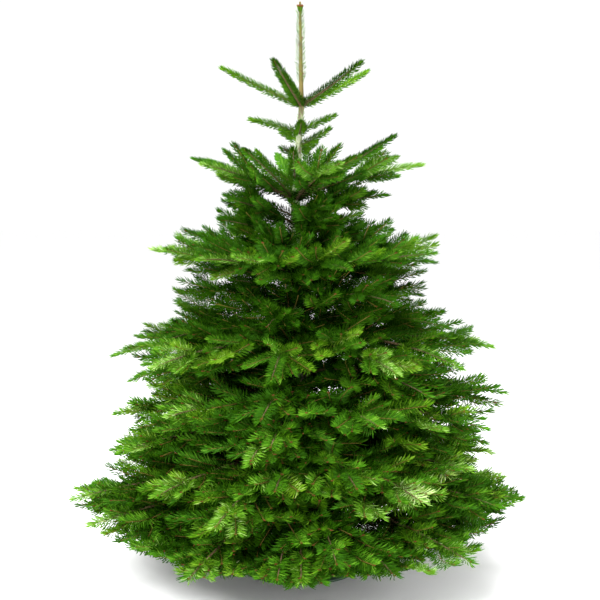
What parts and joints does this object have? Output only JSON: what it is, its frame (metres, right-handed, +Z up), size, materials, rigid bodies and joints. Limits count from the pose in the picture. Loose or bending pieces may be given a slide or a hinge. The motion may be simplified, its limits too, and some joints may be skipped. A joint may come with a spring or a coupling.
{
  "type": "cut christmas tree in a stand",
  "caption": "Undecorated cut fir tree with whorled tiers of needled boughs, a bare leading shoot, and a round stand with a tube and clamping screws.",
  "frame": {"origin": "middle of the stand's flat underside, on the floor", "axes": "+Z up along the trunk, -Y towards the viewer of the picture, +X to the viewer's right"},
  "size_m": [1.5447, 1.414, 1.8931],
  "materials": {
    "bark": "matte",
    "wood": "matte",
    "needles": "satin",
    "stand_paint": "satin",
    "screw_steel": "satin"
  },
  "bodies": {
    "root": {"trunk": "bark", "tier_1_shoot_1": "needles", "tier_1_shoot_2": "needles", "tier_1_shoot_3": "needles", "tier_1_shoot_4": "needles", "tier_1_shoot_5": "needles", "tier_2_foliage_1": "needles", "tier_2_foliage_2": "needles", "tier_2_foliage_3": "needles", "tier_2_foliage_4": "needles", "tier_2_foliage_5": "needles", "tier_3_foliage_1": "needles", "tier_3_foliage_2": "needles", "tier_3_foliage_3": "needles", "tier_3_foliage_4": "needles", "tier_3_foliage_5": "needles", "tier_4_foliage_1": "needles", "tier_4_bough_1": "wood", "tier_4_foliage_2": "needles", "tier_4_bough_2": "wood", "tier_4_foliage_3": "needles", "tier_4_bough_3": "wood", "tier_4_foliage_4": "needles", "tier_4_bough_4": "wood", "tier_4_foliage_5": "needles", "tier_4_bough_5": "wood", "tier_5_foliage_1": "needles", "tier_5_bough_1": "wood", "tier_5_foliage_2": "needles", "tier_5_bough_2": "wood", "tier_5_foliage_3": "needles", "tier_5_bough_3": "wood", "tier_5_foliage_4": "needles", "tier_5_bough_4": "wood", "tier_5_foliage_5": "needles", "tier_5_bough_5": "wood", "tier_6_foliage_1": "needles", "tier_6_bough_1": "wood", "tier_6_foliage_2": "needles", "tier_6_bough_2": "wood", "tier_6_foliage_3": "needles", "tier_6_bough_3": "wood", "tier_6_foliage_4": "needles", "tier_6_bough_4": "wood", "tier_6_foliage_5": "needles", "tier_6_bough_5": "wood", "tier_7_foliage_1": "needles", "tier_7_bough_1": "wood", "tier_7_foliage_2": "needles", "tier_7_bough_2": "wood", "tier_7_foliage_3": "needles", "tier_7_bough_3": "wood", "tier_7_foliage_4": "needles", "tier_7_bough_4": "wood", "tier_7_foliage_5": "needles", "tier_7_bough_5": "wood", "stand_base": "stand_paint", "stand_screw_1": "screw_steel", "stand_screw_2": "screw_steel", "stand_screw_3": "screw_steel"}
  },
  "joints": []
}
